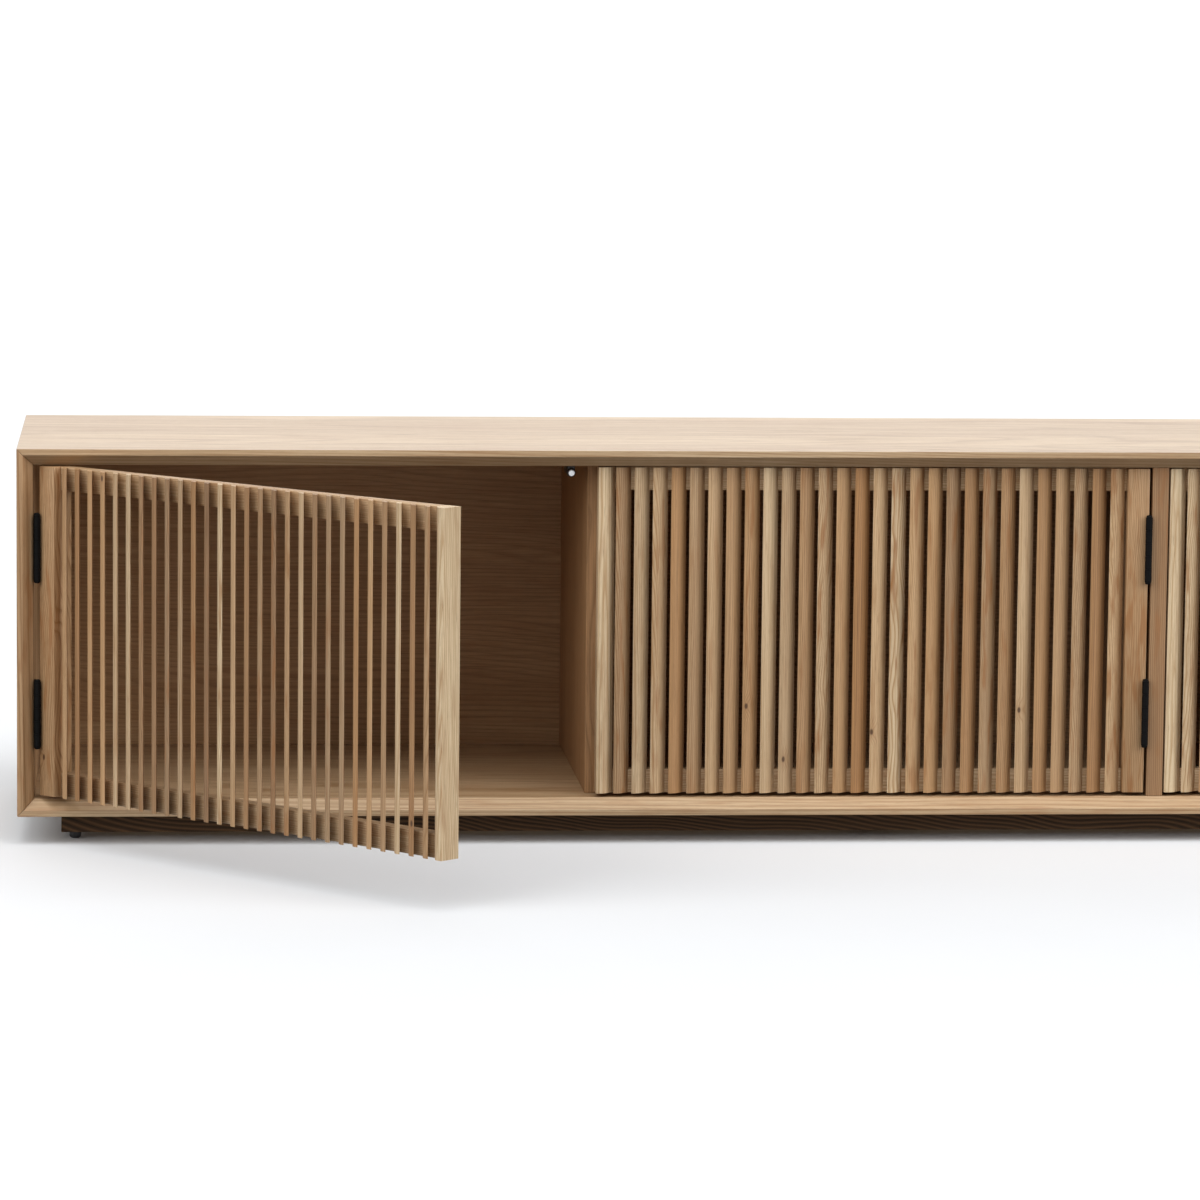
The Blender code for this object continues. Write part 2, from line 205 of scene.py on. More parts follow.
bpy.ops.object.select_all(action="DESELECT")
floor_size = 700
bpy.ops.mesh.primitive_plane_add(size=floor_size)
floor = bpy.context.object
floor.name = "floor"
pale = Finish("pale_floor")
mottle = pale.noise(pale.node("ShaderNodeTexCoord", output="Object"), 3.0)
paint = pale.mix(mottle, colour(0.755, 0.77, 0.79), colour(0.775, 0.79, 0.81))
pale.set(base_color=paint, roughness=0.8)
pale.shader.inputs["Specular IOR Level"].default_value = 0.1
floor.data.materials.append(pale.owner)
floor.visible_diffuse = False

# ---------------------------------------------------------------------------------------------
# The carcass: four outer boards veneered in crown-cut oak, mitred at the corners, each with a flat
# front lip and a bevel behind it. Their arrises are eased with fine paper and the faces are oiled.
# The two partitions and the back panel are veneered too, and stand inside.


def figured_oak(wood, along, across, through, tone, warmth, wild, spacing, knot=None, rough=0.46):
    """Oak figure: growth rings round a pith, cut by the board, with fine fibre and pores.

    The three places are in metres. `tone` darkens the wood, `warmth` reddens it and `wild` makes its
    rings wander, each from 0 to 1. `spacing` is the width of a year's ring. `knot` is the distance
    to a knot's heart, which the rings pass around.
    """
    drift = wood.noise(wood.vector(along * 1.1, across * 7, through * 7), 1.0, 2.0)
    wave = wood.noise(wood.vector(along * 7, across * 24, through * 24 + 5), 1.0, 2.0)
    aside = across + (drift - 0.5) * (0.035 + wild * 0.08) + (wave - 0.5) * (0.004 + wild * 0.022)
    depth = through + (drift - 0.5) * 0.03
    if knot:
        knot_reach, knot_push = 0.011, 0.006
        bulge = wood.ramp(knot, 0.0, knot_reach, 1.0, 0.0)
        aside = aside + bulge * knot_push
    radius = (aside * aside + depth * depth).root()
    years = wood.noise(wood.vector(radius * 55, 0.0, 0.0), 1.0, 1.0)
    ring = (radius / spacing + years * 2.6).fract()
    stops = [(0.0, 1.0), (0.07, 0.8), (0.3, 0.22), (0.65, 0.0), (0.92, 0.3), (1.0, 1.0)]
    grain = wood.node("ShaderNodeValToRGB", {"stops": stops}, {0: ring})
    fibre = wood.noise(wood.vector(along * 7, across * 620, through * 620), 1.0, 3.0, 0.6)
    pore = wood.noise(wood.vector(along * 50, across * 1900, through * 1900), 1.0, 2.0, 0.6)
    pore = wood.ramp(pore, 0.58, 0.7, kind="LINEAR")
    cloud = wood.noise(wood.vector(along * 2.6, across * 26, through * 26), 1.0, 3.0)
    flame = wood.noise(wood.vector(along * 17, across * 120, through * 120), 1.0, 2.0)
    flame = wood.ramp(flame, 0.5, 0.7)
    pale_wood = wood.mix(tone, colour(0.76, 0.61, 0.40), colour(0.25, 0.125, 0.053))
    pale_wood = wood.mix(warmth * 0.8, pale_wood, colour(0.48, 0.235, 0.085))
    late_wood = wood.mix(tone, colour(0.40, 0.23, 0.10), colour(0.105, 0.045, 0.017))
    tint = wood.mix(grain * (0.18 + wild * 0.7 + cloud * 0.8), pale_wood, late_wood)
    tint = wood.mix((fibre - 0.42) * 2.2, tint, late_wood)
    tint = wood.mix((cloud - 0.46) * 1.5, tint, colour(0.34, 0.175, 0.072))
    tint = wood.mix(flame * (0.1 + wild * 0.8), tint, colour(0.29, 0.118, 0.034))
    tint = wood.mix(pore * 0.38, tint, colour(0.13, 0.068, 0.030))
    if knot:
        tint = wood.mix(bulge * 0.35, tint, colour(0.30, 0.15, 0.06))
        core = wood.ramp(knot, 0.0011, 0.0026, 0.9, 0.0)
        tint = wood.mix(core, tint, colour(0.07, 0.030, 0.013))
    wood.set(base_color=tint, roughness=rough + fibre * 0.16 + pore * 0.12)
    wood.set(normal=wood.bump(fibre * 0.5 - grain * 0.25 - pore * 0.6, 0.22, 0.0003))


def board_oak(name, along, across, seed, tone, warmth, wild=0.3, leaf=0.155, spacing=0.0075,
              heart=0.0, rough=0.46):
    """Veneer laid in leaves side by side, its grain along one axis of the cabinet.

    `heart` is how far the leaf was cut from the tree's heart: far off, its lines run straight.
    """
    wood = Finish(name)
    axes = wood.parts(wood.node("ShaderNodeTexCoord", output="Object"))
    number = (axes[across] / leaf + seed).whole()
    chance = wood.node("ShaderNodeTexWhiteNoise", {"noise_dimensions": "1D"}, {"W": number})
    run = axes[along] + chance * 9.0 + seed
    side = axes[across] - (number - seed + 0.5) * leaf + (chance - 0.5) * 0.09 + heart
    deep = axes[3 - along - across] + 0.045 + run * 0.012 + chance * 0.03
    tone = tone + (chance - 0.5) * 0.16
    figured_oak(wood, run, side, deep, tone, warmth, wild, spacing, None, rough)
    return wood


def soften(node, width=0.0005):
    """Eases a board's arrises with a live bevel; the board's own mesh stays as it is."""
    weld = node.modifiers.new("weld", "WELD")
    weld.merge_threshold = 1e-5
    ease = node.modifiers.new("ease", "BEVEL")
    ease.width = width
    ease.segments = 2
    ease.limit_method = "ANGLE"
    ease.angle_limit = math.radians(25)


def dress(name, finish):
    """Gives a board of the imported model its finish."""
    node = frame["nodes"][name]
    node.data.materials.clear()
    node.data.materials.append(finish.owner)
    soften(node)


X, Y, Z = 0, 1, 2
dress("top_panel", board_oak("oak_top", X, Y, 2.3, 0.36, 0.13, wild=0.0, leaf=0.115,
                             spacing=0.0036, heart=0.05, rough=0.28))
dress("bottom_panel", board_oak("oak_bottom", X, Y, 7.1, 0.38, 0.18, wild=0.2,
                                spacing=0.005, heart=0.03, rough=0.28))
dress("left_side_panel", board_oak("oak_left_side", Z, Y, 4.7, 0.42, 0.5, wild=0.5))
dress("right_side_panel", board_oak("oak_right_side", Z, Y, 9.4, 0.4, 0.3, wild=0.4))
dress("left_partition", board_oak("oak_left_partition", Z, Y, 12.2, 0.6, 0.8, wild=0.2,
                                  spacing=0.0026, heart=0.3))
dress("right_partition", board_oak("oak_right_partition", Z, Y, 15.8, 0.8, 0.3, wild=0.5,
                                   spacing=0.0022, heart=0.3))
dress("back_panel", board_oak("oak_back", X, Z, 18.6, 0.40, 0.7, wild=0.1, leaf=0.2,
                              spacing=0.0023, heart=0.25))

# ---------------------------------------------------------------------------------------------
# The plinth: five square rails of open-grained oak, stained almost black-brown so that the grain
# shows lighter, glued and screwed up into the underside and set well back from every edge.

ring_width = 0.0056


def stained_oak(name, along, seed):
    """Dark stain over coarse grain that runs a little aslant along one axis."""
    wood = Finish(name)
    axes = wood.parts(wood.node("ShaderNodeTexCoord", output="Object"))
    across = 1 - along
    run, up = axes[along], axes[2]
    drift = wood.noise(wood.vector(run * 2.6 + seed, axes[across] * 8, up * 5), 1.0, 2.0)
    slant = up + run * 0.12 + (drift - 0.5) * 0.12 + axes[across] * 0.5
    line = (slant / ring_width).fract()
    stops = [(0.0, 1.0), (0.3, 0.25), (0.6, 0.0), (1.0, 1.0)]
    grain = wood.node("ShaderNodeValToRGB", {"stops": stops}, {0: line})
    fibre = wood.noise(wood.vector(run * 14, slant * 900, axes[across] * 500), 1.0, 3.0)
    tint = wood.mix(grain, colour(0.026, 0.013, 0.006), colour(0.17, 0.090, 0.042))
    tint = wood.mix((fibre - 0.4) * 1.2, tint, colour(0.15, 0.082, 0.040))
    wood.set(base_color=tint, roughness=0.6 + fibre * 0.2)
    wood.shader.inputs["Specular IOR Level"].default_value = 0.25
    wood.set(normal=wood.bump(fibre * 0.6 - grain * 0.3, 0.35, 0.0004))
    return wood


for name, along, seed in (
    ("plinth_front_rail", X, 1.0),
    ("plinth_back_rail", X, 5.0),
    ("plinth_left_rail", Y, 9.0),
    ("plinth_cross_rail", Y, 13.0),
    ("plinth_right_rail", Y, 17.0),
):
    dress(name, stained_oak(f"stained_{name}", along, seed))

# ---------------------------------------------------------------------------------------------
# The glides: turned discs of black moulded plastic with a domed sole, nailed up into the plinth.
# The nail's head sits in a shallow recess in the middle of the sole.


def only(piece):
    """Leaves one piece selected, and makes it active."""
    bpy.ops.object.select_all(action="DESELECT")
    piece.select_set(True)
    bpy.context.view_layer.objects.active = piece


def block(low, high):
    """A cube between two corners, its place in its mesh."""
    low, high = Vector(low), Vector(high)
    bpy.ops.object.select_all(action="DESELECT")
    bpy.ops.mesh.primitive_cube_add(size=1, location=(low + high) / 2, scale=high - low)
    bpy.ops.object.transform_apply()
    return bpy.context.object


def rod(radius, low, high, sides=32, top_radius=None):
    """A cylinder on Z between two heights, or a cone where the top has its own radius."""
    top_radius = radius if top_radius is None else top_radius
    bpy.ops.object.select_all(action="DESELECT")
    bpy.ops.mesh.primitive_cone_add(
        vertices=sides, radius1=radius, radius2=top_radius,
        depth=high - low, location=(0, 0, (low + high) / 2))
    bpy.ops.object.transform_apply()
    return bpy.context.object


def edit(piece, kind, test):
    """Enters edit mode with only the faces or edges that pass a test selected."""
    only(piece)
    bpy.ops.object.mode_set(mode="EDIT")
    bpy.ops.mesh.select_mode(type=kind)
    bpy.ops.mesh.select_all(action="DESELECT")
    work = bmesh.from_edit_mesh(piece.data)
    for part in work.faces if kind == "FACE" else work.edges:
        part.select_set(bool(test(part)))
    bmesh.update_edit_mesh(piece.data)


def end_edit():
    bpy.ops.object.mode_set(mode="OBJECT")


def middle(edge):
    return (edge.verts[0].co + edge.verts[1].co) / 2


def round_edges(piece, test, width, segments=2):
    edit(piece, "EDGE", test)
    bpy.ops.mesh.bevel(offset=width, segments=segments, affect="EDGES", clamp_overlap=True)
    end_edit()


def facing(direction, near=0.9):
    """A test for faces that face one way."""
    direction = Vector(direction)
    return lambda face: face.normal.dot(direction) > near


def inset_push(piece, test, border, depth):
    """Insets the faces that pass a test and pushes the inner ones along their normal."""
    edit(piece, "FACE", test)
    bpy.ops.mesh.inset(thickness=border, depth=depth)
    end_edit()


def carve(piece, cutter, operation="DIFFERENCE"):
    """Cuts or joins with another mesh, which is then removed."""
    boolean = piece.modifiers.new("carve", "BOOLEAN")
    boolean.operation = operation
    boolean.object = cutter
    only(piece)
    bpy.ops.object.modifier_apply(modifier="carve")
    bpy.data.objects.remove(cutter)
    return piece


def copied(piece, matrix):
    """A copy with its own mesh, moved by a matrix; a mirrored one is turned right side out."""
    twin = bpy.data.objects.new(piece.name, piece.data.copy())
    bpy.context.scene.collection.objects.link(twin)
    twin.data.transform(matrix)
    if matrix.determinant() < 0:
        twin.data.flip_normals()
    return twin


def joined(pieces):
    """Joins pieces into the first one."""
    bpy.ops.object.select_all(action="DESELECT")
    for piece in pieces:
        piece.select_set(True)
    bpy.context.view_layer.objects.active = pieces[0]
    bpy.ops.object.join()
    return pieces[0]


def settle(piece, name, body, slot, finish, *stands_for):
    """Names a finished piece, shades it, and says what it rides on and stands for."""
    only(piece)
    bpy.ops.object.shade_smooth_by_angle(angle=math.radians(32))
    piece.name = piece.data.name = name
    piece.data.materials.clear()
    piece.data.materials.append(finish.owner)
    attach(piece, body)
    if stands_for:
        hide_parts(*stands_for)
    return piece


moulded = Finish("black_moulded_plastic")
place = moulded.node("ShaderNodeTexCoord", output="Object")
stipple = moulded.noise(place, 2600.0, 2.0)
scuff = moulded.noise(place, 90.0, 3.0)
moulded.set(
    base_color=moulded.mix(scuff, colour(0.010, 0.010, 0.011), colour(0.022, 0.022, 0.023)),
    roughness=0.42 + scuff * 0.2,
    normal=moulded.bump(stipple, 0.25, 0.0001),
)

sole_rounding = 0.0042
sole_border = 0.0008
recess_radius, recess_depth = 0.0021, 0.0008
nail_radius, nail_low, nail_high, nail_rounding = 0.0018, 0.0003, 0.0012, 0.0003

low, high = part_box("centre_foot")
foot = rod(high.x, low.z, high.z, 40)
round_edges(foot, lambda e: middle(e).z < low.z + 1e-5, sole_rounding, 6)
inset_push(foot, facing((0, 0, -1), 0.99), sole_border, 0.0)
recess = rod(recess_radius, low.z - 0.001, low.z + recess_depth, 24)
carve(foot, recess)
nail = rod(nail_radius, low.z + nail_low, low.z + nail_high, 24)
round_edges(nail, lambda e: middle(e).z < low.z + nail_low + 1e-4, nail_rounding, 2)
carve(foot, nail, "UNION")
for name in (
    "front_left_foot",
    "front_right_foot",
    "back_left_foot",
    "back_right_foot",
    "centre_foot",
):
    low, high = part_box(name)
    where = Matrix.Translation(((low.x + high.x) / 2, (low.y + high.y) / 2, 0))
    settle(copied(foot, where), f"{name}_glide", "carcass", "black_plastic", moulded, name)
bpy.data.objects.remove(foot)

# ---------------------------------------------------------------------------------------------
# The doors: solid oak sticks glued across two rails between a plain hinge stile and a leading
# stile shaped like the sticks. Each stick has a flat front, and its inner corner is rounded over
# into a side that slopes back towards the hinges. No two sticks are from the same plank.

slat_count = 28
slat_front = 0.0078
slat_depth = 0.0105
slat_round = 0.0036
slat_lean = math.radians(45)
slat_housing = 0.0006
lead_front = 0.0094
rail_height = 0.027
rail_gap = 0.0003
eased = 0.0006
stick_ring = 0.0025
knotty_share = 0.14
stile_knot_height, stile_knot_inset = 0.045, 0.007
no_knot = (9.0, 9.0)
chance = random.Random(11)


class Door:
    """A door's sizes and place. Its pieces are modelled in distances from its leading edge.

    `hand` is 1 where the hinges are on the cabinet's left of the door, and -1 on the right. A door
    that stands open takes its sizes from a shut one that is `like` it.
    """

    def __init__(self, name, hand, like=None):
        self.name = name
        joint = next(j for j in frame["joints"] if j["child"] == name)
        self.axis = Vector((joint["pos_m"][0], joint["pos_m"][1], 0))
        self.open = math.radians(-joint["range_deg"][0])
        stile_low, stile_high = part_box(f"{like or name}_hinge_stile")
        lead_low, lead_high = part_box(f"{like or name}_leading_stile")
        axis_x = next(j for j in frame["joints"] if j["child"] == (like or name))["pos_m"][0]
        self.lead = axis_x - lead_low.x
        self.lead_depth = lead_high.x - lead_low.x
        self.inner = stile_low.x - lead_low.x
        self.width = stile_high.x - lead_low.x
        self.front = stile_low.y - self.axis.y
        self.back = stile_high.y - self.axis.y
        self.low, self.high = stile_low.z, stile_high.z
        swing = Matrix.Translation(self.axis) @ Matrix.Rotation(-hand * self.open, 4, "Z")
        self.hinge_place = swing @ Matrix.Diagonal((-hand, 1, 1, 1))
        self.frame_place = Matrix.Translation(self.axis) @ Matrix.Diagonal((-hand, 1, 1, 1))
        self.place = self.hinge_place @ Matrix.Translation((-self.lead, 0, 0))


def lay_grain(piece, along, across, tone, warmth, wild, ring_depth=None, knot_at=None):
    """Stores where each point lies in the plank that a stick was sawn from, and from its knot.

    The plank's tone, warmth and wildness are stored at every point too.
    """
    far = chance.uniform(0, 40)
    aside = chance.uniform(-0.03, 0.03)
    deep = chance.uniform(0.012, 0.07) if ring_depth is None else ring_depth
    runout = chance.uniform(-0.16, 0.16) * wild
    heart = knot_at or no_knot
    through = 3 - along - across
    plank, character, knot = (
        piece.data.attributes.new(name, "FLOAT_VECTOR", "POINT")
        for name in ("plank", "character", "knot")
    )
    for vertex, spot, kind, away in zip(piece.data.vertices, plank.data, character.data, knot.data):
        run, side, inward = vertex.co[along], vertex.co[across], vertex.co[through]
        spot.vector = (run + far, side + aside, inward + deep + runout * run)
        kind.vector = (tone, warmth, wild)
        away.vector = (run - heart[0], side - heart[1], 0)


def stored(name):
    """The three components of what lay_grain stored."""
    return sticks.parts(sticks.node("ShaderNodeAttribute", {"attribute_name": name}, output="Vector"))


sticks = Finish("oak_sticks")
run, side, deep = stored("plank")
tone, warmth, wild = stored("character")
knot_run, knot_side, _ = stored("knot")
knot_run = knot_run * 0.55
knot = (knot_run * knot_run + knot_side * knot_side).root()
figured_oak(sticks, run, side, deep, tone, warmth, wild, stick_ring, knot)
sticks.shader.inputs["Specular IOR Level"].default_value = 0.38


def upright(edge):
    return abs(edge.verts[0].co.z - edge.verts[1].co.z) > 0.1


def slat(door):
    """One stick: a cube sheared back, its inner front corner rounded, its arrises eased."""
    deep = slat_depth + slat_housing
    piece = block((0, door.front, door.low), (slat_front, door.front + deep, door.high))
    edit(piece, "FACE", facing((0, 1, 0)))
    bpy.ops.transform.translate(value=(deep * math.tan(slat_lean), 0, 0))
    end_edit()
    front = lambda e: upright(e) and middle(e).y < door.front + 1e-5
    round_edges(piece, lambda e: front(e) and middle(e).x > slat_front / 2, slat_round, 6)
    round_edges(piece, lambda e: front(e) and middle(e).x < 1e-4, eased, 2)
    return piece


def leading_stile(door):
    """A square stile whose inner front corner is cut back to slope as the sticks do."""
    piece = block((0, door.front, door.low), (door.lead_depth, door.back, door.high))
    edit(piece, "FACE", lambda f: True)
    slope_end = door.front + (door.lead_depth - lead_front) / math.tan(slat_lean)
    bpy.ops.mesh.bisect(plane_co=(0, slope_end, 0), plane_no=(0, 1, 0))
    end_edit()
    front = lambda e: upright(e) and middle(e).y < door.front + 1e-5
    edit(piece, "EDGE", lambda e: front(e) and middle(e).x > lead_front)
    bpy.ops.transform.translate(value=(lead_front - door.lead_depth, 0, 0))
    end_edit()
    round_edges(piece, lambda e: front(e) and middle(e).x > 0.001, slat_round, 6)
    outer = lambda e: upright(e) and (middle(e).x < 1e-5 or middle(e).y > door.back - 1e-5)
    round_edges(piece, outer, eased, 2)
    return piece


def square_stick(low, high):
    """A straight stile or rail with all its arrises eased."""
    piece = block(low, high)
    round_edges(piece, lambda e: True, eased, 2)
    return piece


def hang(piece, door):
    """Moves a piece from its door's own measures to its place, right side out."""
    piece.data.transform(door.place)
    if door.place.determinant() < 0:
        piece.data.flip_normals()


doors = (
    Door("left_door", 1, "middle_door"),
    Door("middle_door", -1),
    Door("right_door", -1),
)
for door in doors:
    model = slat(door)
    pitch = (door.inner - door.lead_depth) / slat_count
    row = []
    for count in range(slat_count):
        left = door.lead_depth + count * pitch
        stick = copied(model, Matrix.Translation((left, 0, 0)))
        knot_at = (chance.uniform(door.low, door.high), left + chance.uniform(0.002, 0.008))
        knotty = chance.random() < knotty_share
        tone = 0.03 + 0.84 * chance.uniform(0, 1) ** 1.2
        warmth = chance.uniform(0, 1)
        wild = 0.75 * chance.uniform(0, 1) ** 1.5
        lay_grain(stick, Z, X, tone, warmth, wild, knot_at=knot_at if knotty else None)
        hang(stick, door)
        row.append(stick)
    bpy.data.objects.remove(model)
    settle(joined(row), f"{door.name}_slats", door.name, "slat_oak", sticks,
           f"{door.name}_slat_grille")

    face = door.front + slat_depth
    left, right = door.lead_depth + rail_gap, door.inner - rail_gap
    for end, low, high in (
        ("bottom", door.low, door.low + rail_height),
        ("top", door.high - rail_height, door.high),
    ):
        rail = square_stick((left, face, low), (right, door.back, high))
        lay_grain(rail, X, Z, chance.uniform(0.2, 0.5), chance.uniform(0, 0.5), 0.2, 0.03)
        hang(rail, door)
        settle(rail, f"{door.name}_{end}_rail", door.name, "slat_oak", sticks)

    low, high = (door.inner, door.front, door.low), (door.width, door.back, door.high)
    for part, stile, tone in (
        ("leading_stile", leading_stile(door), 0.0),
        ("hinge_stile", square_stick(low, high), 0.45),
    ):
        knotty = door.name == "left_door" and part == "hinge_stile"
        knot_at = (door.low + stile_knot_height, door.width - stile_knot_inset) if knotty else None
        lay_grain(stile, Z, X, tone, tone * 1.3, 0.25 + tone, 0.04, knot_at)
        hang(stile, door)
        settle(stile, f"{door.name}_oak_{part}", door.name, "oak", sticks, f"{door.name}_{part}")

# ---------------------------------------------------------------------------------------------
# The hinges: two steel butt hinges to a door, powder-coated satin black. Each leaf is pressed and
# rolled into its knuckles, and held by three countersunk screws; the pin has domed caps. The
# whole barrel stands in front of the door.

knuckle_radius = 0.0040
bore_radius = 0.00195
pin_radius = 0.00175
cap_radius, cap_height, cap_dome = 0.0036, 0.0024, 0.0021
knuckles = 5
knuckle_rounding = 0.0002
play = 0.0003
leaf_thick = 0.0012
leaf_corner = 0.0025
finger_start = 0.0012
frame_near = 0.0027
door_near = 0.0009
screw_radius, shank_radius, head_depth = 0.0027, 0.0012, 0.0014
cross_width, cross_length, cross_depth = 0.0004, 0.0017, 0.0008
screw_gap = 0.026
screw_stagger = 0.003
screw_proud = 0.0001
leaf_low, leaf_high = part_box("middle_door_upper_hinge_frame_leaf")
pin_low, pin_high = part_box("middle_door_upper_hinge_pin")
hinge_axis = Vector(next(j for j in frame["joints"] if j["child"] == "middle_door")["pos_m"])
barrel = leaf_high.z - leaf_low.z
leaf_back = leaf_high.y - hinge_axis.y

coated = Finish("black_coated_steel")
place = coated.node("ShaderNodeTexCoord", output="Object")
peel = coated.noise(place, 1500.0, 2.0)
wear = coated.noise(place, 60.0, 4.0)
coated.set(
    base_color=coated.mix(wear, colour(0.0022, 0.0021, 0.0023), colour(0.0055, 0.0053, 0.0055)),
    roughness=0.42 + wear * 0.2,
    normal=coated.bump(peel, 0.2, 0.00012),
)
coated.shader.inputs["Specular IOR Level"].default_value = 0.08


def knuckle(low, high):
    """One rolled knuckle: a short tube with broken edges."""
    tube = rod(knuckle_radius, low, high, 32)
    level = lambda e: abs(e.verts[0].co.z - e.verts[1].co.z) < 1e-6
    round_edges(tube, level, knuckle_rounding, 1)
    bore = rod(bore_radius, low - play, high + play, 24)
    return carve(tube, bore)


def hinge_leaf(near, turns):
    """A leaf whose plate starts at x = near, with the knuckles that it carries."""
    start = knuckle_radius + 2 * play
    plate = block((near, start, -barrel / 2), (near + leaf_thick, leaf_back, barrel / 2))
    through = lambda e: abs(e.verts[0].co.x - e.verts[1].co.x) > 1e-4
    round_edges(plate, lambda e: through(e) and middle(e).y > start + 0.001, leaf_corner, 4)
    step = barrel / knuckles
    for turn in turns:
        low = -barrel / 2 + turn * step + play / 2
        high = low + step - play
        finger = block((near, finger_start, low), (near + leaf_thick, start + leaf_thick, high))
        carve(plate, finger, "UNION")
    for turn in turns:
        low = -barrel / 2 + turn * step + play / 2
        carve(plate, knuckle(low, low + step - play), "UNION")
    bore = rod(bore_radius, -barrel / 2 - play, barrel / 2 + play, 24)
    return carve(plate, bore)


def screw_head():
    """A countersunk head with a cross recess, its flat top at z = 0."""
    head = rod(shank_radius, -head_depth, 0.0, 20, screw_radius)
    for across, along in ((cross_width, cross_length), (cross_length, cross_width)):
        slot = block((-across, -along, -cross_depth), (across, along, 0.001))
        carve(head, slot)
    return head


def screw_row(near, out):
    """Three screws down a leaf; `out` is the way that their heads face along X."""
    model = screw_head()
    centre = (knuckle_radius + leaf_back) / 2
    turned = Matrix.Rotation(out * math.pi / 2, 4, "Y")
    face = near + leaf_thick if out > 0 else near
    row = []
    for step in (-1, 0, 1):
        aside = centre + (screw_stagger if step else -screw_stagger)
        spot = Matrix.Translation((face + out * screw_proud, aside, step * screw_gap))
        row.append(copied(model, spot @ turned @ Matrix.Rotation(step * 0.5 + 0.3, 4, "Z")))
    bpy.data.objects.remove(model)
    return joined(row)


frame_leaf = hinge_leaf(frame_near, (0, 2, 4))
door_leaf = hinge_leaf(door_near, (1, 3))
frame_screws = screw_row(frame_near, -1)
door_screws = screw_row(door_near, 1)
pin_reach = (pin_high.z - pin_low.z) / 2
pin = rod(pin_radius, -pin_reach + cap_height, pin_reach - cap_height, 24)
for end in (-1, 1):
    ends = sorted((end * (pin_reach - cap_height), end * pin_reach))
    cap = rod(cap_radius, *ends, 32)
    round_edges(cap, lambda e: abs(middle(e).z) > pin_reach - 1e-5, cap_dome, 5)
    carve(pin, cap, "UNION")

for door in doors:
    for level in ("upper", "lower"):
        low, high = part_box(f"middle_door_{level}_hinge_pin")
        rise = Matrix.Translation((0, 0, (low.z + high.z) / 2))
        name = f"{door.name}_{level}_hinge"
        fixed, swung = rise @ door.frame_place, rise @ door.hinge_place
        settle(copied(frame_leaf, fixed), f"{name}_frame_plate", "carcass", "black_steel", coated,
               f"{name}_frame_leaf")
        settle(copied(door_leaf, swung), f"{name}_door_plate", door.name, "black_steel", coated,
               f"{name}_door_leaf")
        settle(copied(pin, fixed), f"{name}_capped_pin", "carcass", "black_steel", coated,
               f"{name}_pin")
        settle(copied(frame_screws, fixed), f"{name}_frame_screws", "carcass", "black_steel", coated)
        settle(copied(door_screws, swung), f"{name}_door_screws", door.name, "black_steel", coated)
for model in (frame_leaf, door_leaf, frame_screws, door_screws, pin):
    bpy.data.objects.remove(model)

# ---------------------------------------------------------------------------------------------
# The push latches: a black moulded tube under the top board, with a flange held up by two screws,
# and a bright steel plunger with a magnet in its tip. A small bright disc on the back of the door
# is what the magnet holds, and one screw holds the disc.

bright = Finish("bright_steel")
place = bright.node("ShaderNodeTexCoord", output="Object")
_, depth, _ = bright.parts(place)
turning = bright.noise(bright.vector(0.0, depth * 5200, 0.0), 1.0, 2.0)
haze = bright.noise(place, 240.0, 3.0)
bright.set(
    base_color=bright.mix(haze, colour(0.70, 0.71, 0.72), colour(0.82, 0.83, 0.84)),
    roughness=0.22 + haze * 0.16,
    normal=bright.bump(turning, 0.12, 0.00008),
)
bright.shader.inputs["Metallic"].default_value = 1.0

house_low, house_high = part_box("middle_door_latch_housing")
rod_low, rod_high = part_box("middle_door_latch_plunger")
disc_low, disc_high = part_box("middle_door_strike_plate")
tube_radius, tube_rounding = 0.0052, 0.0008
mouth_radius, mouth_depth = 0.0042, 0.026
saddle_half, saddle_inset = 0.0042, 0.001
flange_half, flange_thick, flange_inset, flange_corner = 0.011, 0.002, 0.010, 0.003
flange_screw = 0.0078
tip_rounding, tip_rim, tip_step, magnet_border = 0.0006, 0.0011, 0.0005, 0.0006
disc_rounding = 0.0003
latch_z = (rod_low.z + rod_high.z) / 2
tip_radius = (rod_high.x - rod_low.x) / 2
roof = house_high.z - latch_z
length = house_high.y - house_low.y

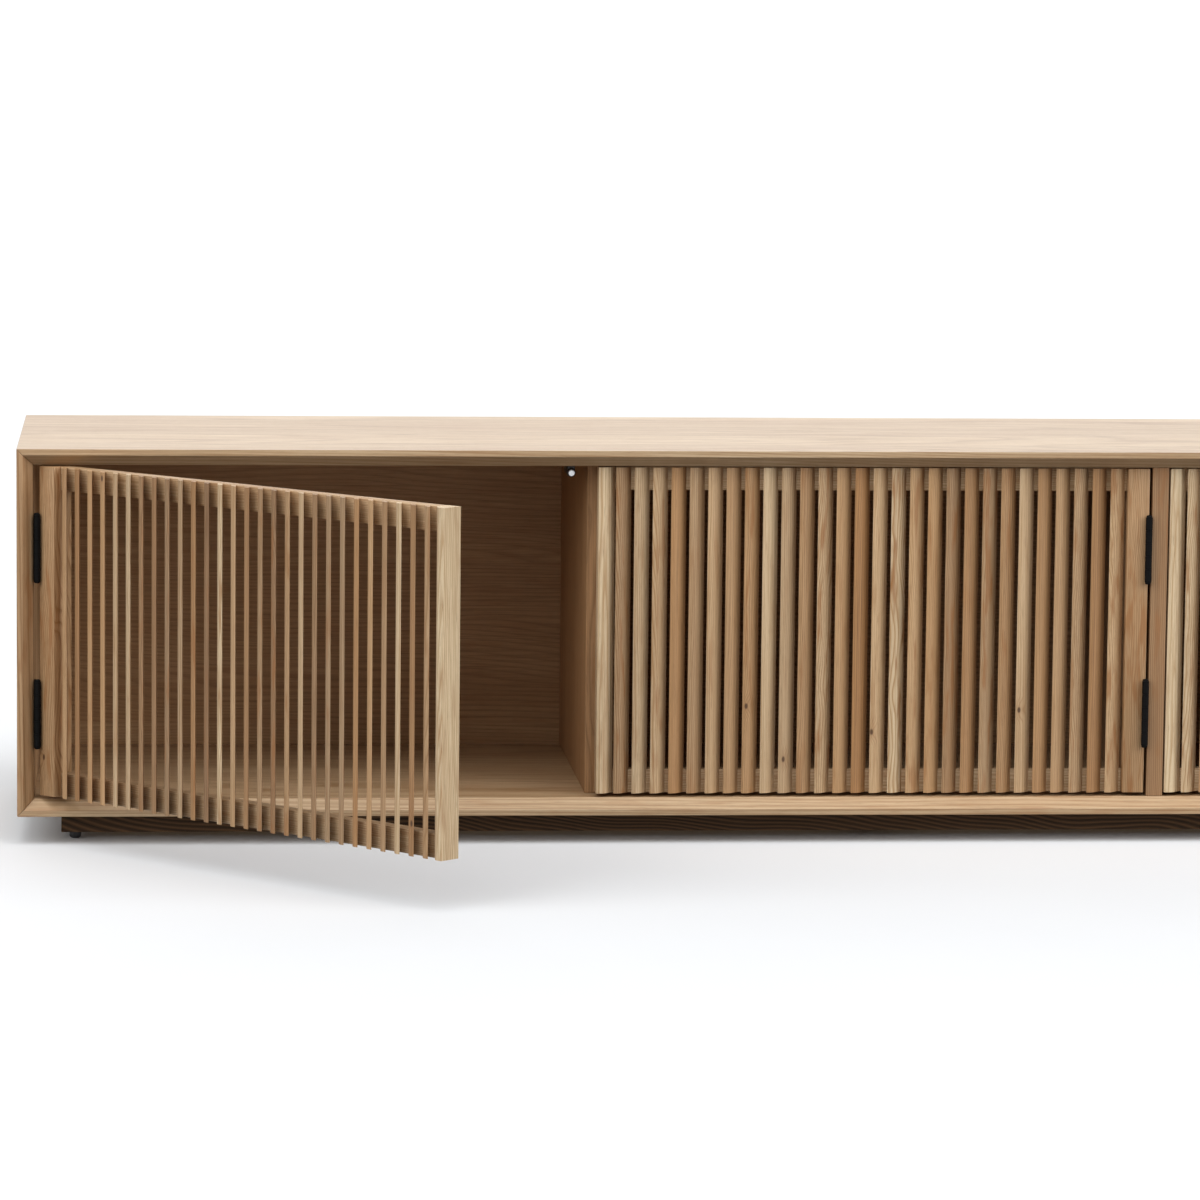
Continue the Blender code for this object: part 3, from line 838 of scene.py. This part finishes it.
# Modelled pointing along Z, its mouth at z = 0 and the top board towards -Y; then laid along +Y.
case = rod(tube_radius, 0, length, 36)
at_an_end = lambda e: middle(e).z < 1e-5 or middle(e).z > length - 1e-5
round_edges(case, at_an_end, tube_rounding, 3)
saddle = block((-saddle_half, -roof, saddle_inset), (saddle_half, 0, length - saddle_inset))
carve(case, saddle, "UNION")
under = flange_thick - roof
flange = block((-flange_half, -roof, flange_inset), (flange_half, under, length - flange_inset))
through = lambda e: abs(e.verts[0].co.y - e.verts[1].co.y) > 1e-4
round_edges(flange, through, flange_corner, 4)
carve(case, flange, "UNION")
carve(case, rod(mouth_radius, -0.001, mouth_depth, 32))
screws = []
model = screw_head()
lay_back = Matrix.Rotation(-math.pi / 2, 4, "X")
for x in (-flange_screw, flange_screw):
    spot = Matrix.Translation((x, under + screw_proud, length / 2))
    screws.append(copied(model, spot @ lay_back))
case_screws = joined(screws)

# The magnet lies a step down inside the tip's rim.
tip = rod(tip_radius, 0, rod_high.y - rod_low.y, 36)
magnet = lambda f: f.normal.z < -0.99 and len(f.verts) > 8
round_edges(tip, lambda e: middle(e).z < 1e-5, tip_rounding, 3)
inset_push(tip, facing((0, 0, -1), 0.99), tip_rim, 0.0)
inset_push(tip, lambda f: magnet(f) and f.calc_area() > 6e-6, 0.0001, -tip_step)
inset_push(tip, magnet, magnet_border, 0.0)

disc_thick = disc_high.y - disc_low.y
disc = rod((disc_high.x - disc_low.x) / 2, 0, disc_thick, 40)
round_edges(disc, lambda e: middle(e).z > 1e-5, disc_rounding, 2)
disc_screw = copied(model, Matrix.Translation((0, 0, disc_thick + screw_proud / 2)))
bpy.data.objects.remove(model)

for door in doors:
    low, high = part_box(f"{door.name}_latch_plunger")
    x = (low.x + high.x) / 2
    mouth = Matrix.Translation((x, house_low.y, latch_z)) @ lay_back
    touch = Matrix.Translation((x, rod_low.y, latch_z)) @ lay_back
    settle(copied(case, mouth), f"{door.name}_latch_case", "carcass", "black_plastic", moulded,
           f"{door.name}_latch_housing")
    settle(copied(case_screws, mouth), f"{door.name}_latch_screws", "carcass", "black_steel", coated)
    plunger = door.name.replace("door", "plunger")
    settle(copied(tip, touch), f"{door.name}_magnet_plunger", plunger, "bright_steel", bright,
           f"{door.name}_latch_plunger")
    inward = abs(x - door.axis.x)
    plate_at = (door.hinge_place @ Matrix.Translation((-inward, disc_low.y - door.axis.y, latch_z))
                @ lay_back)
    settle(copied(disc, plate_at), f"{door.name}_strike_disc", door.name, "bright_steel", bright,
           f"{door.name}_strike_plate")
    settle(copied(disc_screw, plate_at), f"{door.name}_strike_screw", door.name, "bright_steel", bright)
for model in (case, case_screws, tip, disc, disc_screw):
    bpy.data.objects.remove(model)
